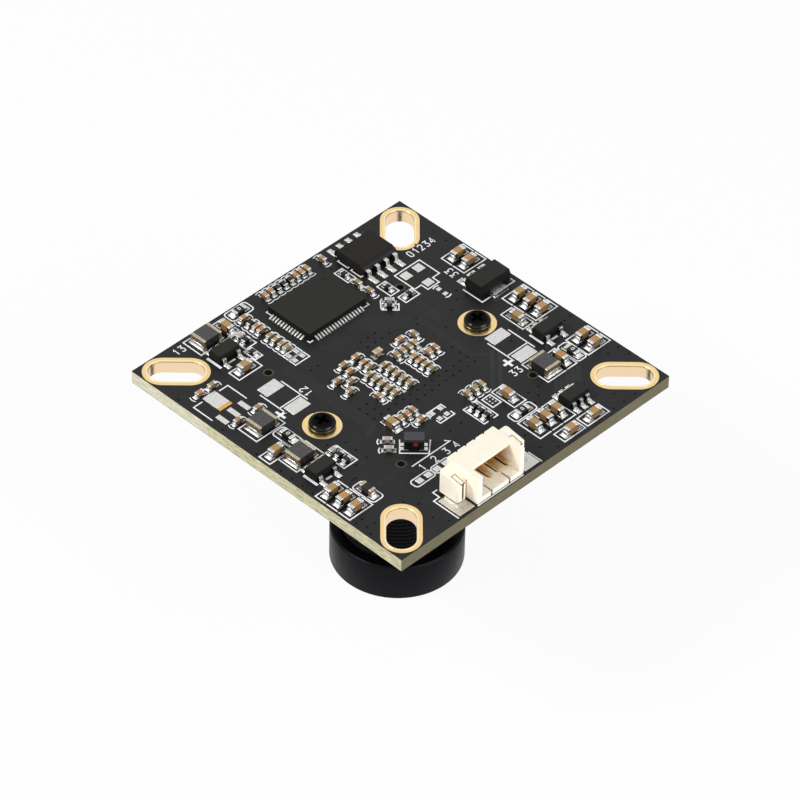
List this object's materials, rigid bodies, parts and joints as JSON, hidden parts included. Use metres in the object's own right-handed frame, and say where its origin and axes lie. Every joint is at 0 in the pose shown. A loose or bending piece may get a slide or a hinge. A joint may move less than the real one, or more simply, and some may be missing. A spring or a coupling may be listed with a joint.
{
  "type": "board camera module",
  "caption": "Square circuit board with surface-mounted parts, corner mounting slots, a side-entry cable socket and a screw-in lens in a moulded holder underneath.",
  "frame": {"origin": "centre of the lens's front rim, on the plane that the module stands on", "axes": "+Z from the lens's front rim up through the board to the side that carries the parts; +X and +Y along the board's edges, with the cable socket on the -Y edge"},
  "size_m": [0.038, 0.038, 0.0283],
  "materials": {
    "board_laminate": "glass-fibre laminate",
    "solder_mask": "satin black",
    "gold_plate": "plated, satin",
    "solder": "tinned",
    "package_leads": "tinned",
    "package_black": "moulded, matt",
    "ceramic_brown": "fired ceramic",
    "ceramic_tan": "fired ceramic",
    "ceramic_grey": "fired ceramic",
    "resistor_glaze": "glazed",
    "ferrite": "sintered",
    "pale_gold_terminal": "plated",
    "copper_wire": "enamelled copper",
    "connector_cream": "moulded nylon",
    "black_steel": "black oxide",
    "holder_black": "moulded, matt",
    "lens_black": "black anodised",
    "lens_glass": "coated glass",
    "filter_glass": "coated glass",
    "sensor_ceramic": "fired ceramic",
    "silicon": "polished"
  },
  "bodies": {
    "board": {"circuit_board": "board_laminate", "solder_mask_top": "solder_mask", "solder_mask_bottom": "solder_mask", "slot_plating": "gold_plate", "screw_lands": "gold_plate", "solder_pads": "solder", "small_capacitors_brown": "ceramic_brown", "small_capacitors_tan": "ceramic_tan", "small_capacitor_ends": "solder", "small_beads": "ceramic_grey", "small_bead_ends": "solder", "chip_coil": "ceramic_tan", "small_resistors": "resistor_glaze", "small_resistor_ends": "solder", "medium_capacitors": "ceramic_brown", "medium_capacitor_ends": "solder", "link_resistors": "resistor_glaze", "link_resistor_ends": "solder", "ferrite_bead": "ferrite", "ferrite_bead_ends": "pale_gold_terminal", "image_processor": "package_black", "image_processor_leads": "package_leads", "flash_memory": "package_black", "flash_memory_leads": "package_leads", "linear_regulator": "package_black", "linear_regulator_leads": "package_leads", "converter_1": "package_black", "converter_2": "package_black", "converter_3": "package_black", "converter_1_leads": "package_leads", "converter_2_leads": "package_leads", "converter_3_leads": "package_leads", "power_switch": "package_black", "power_switch_leads": "package_leads", "power_inductor_1": "ferrite", "power_inductor_2": "ferrite", "power_inductor_3": "ferrite", "power_inductor_4": "ferrite", "inductor_terminals": "pale_gold_terminal", "choke_core": "ferrite", "choke_winding": "copper_wire", "choke_plate": "ferrite", "choke_electrodes": "solder", "connector_housing": "connector_cream", "connector_contacts": "pale_gold_terminal", "connector_solder_nails": "solder", "mounting_screw_left": "black_steel", "mounting_screw_right": "black_steel", "lens_holder": "holder_black", "sensor_package": "sensor_ceramic", "sensor_die": "silicon", "sensor_cover_glass": "lens_glass"},
    "lens": {"lens_barrel": "lens_black", "front_retaining_ring": "lens_black", "front_lens": "lens_glass", "second_lens": "lens_glass", "middle_lens": "lens_glass", "rear_lens": "lens_glass", "lens_spacers": "lens_black", "infrared_filter": "filter_glass"}
  },
  "joints": [
    {"name": "lens_focus", "type": "hinge", "parent": "board", "child": "lens", "pos_m": [0, 0, 0.014], "axis": [0, 0, 1], "range_deg": [-180, 180]}
  ]
}
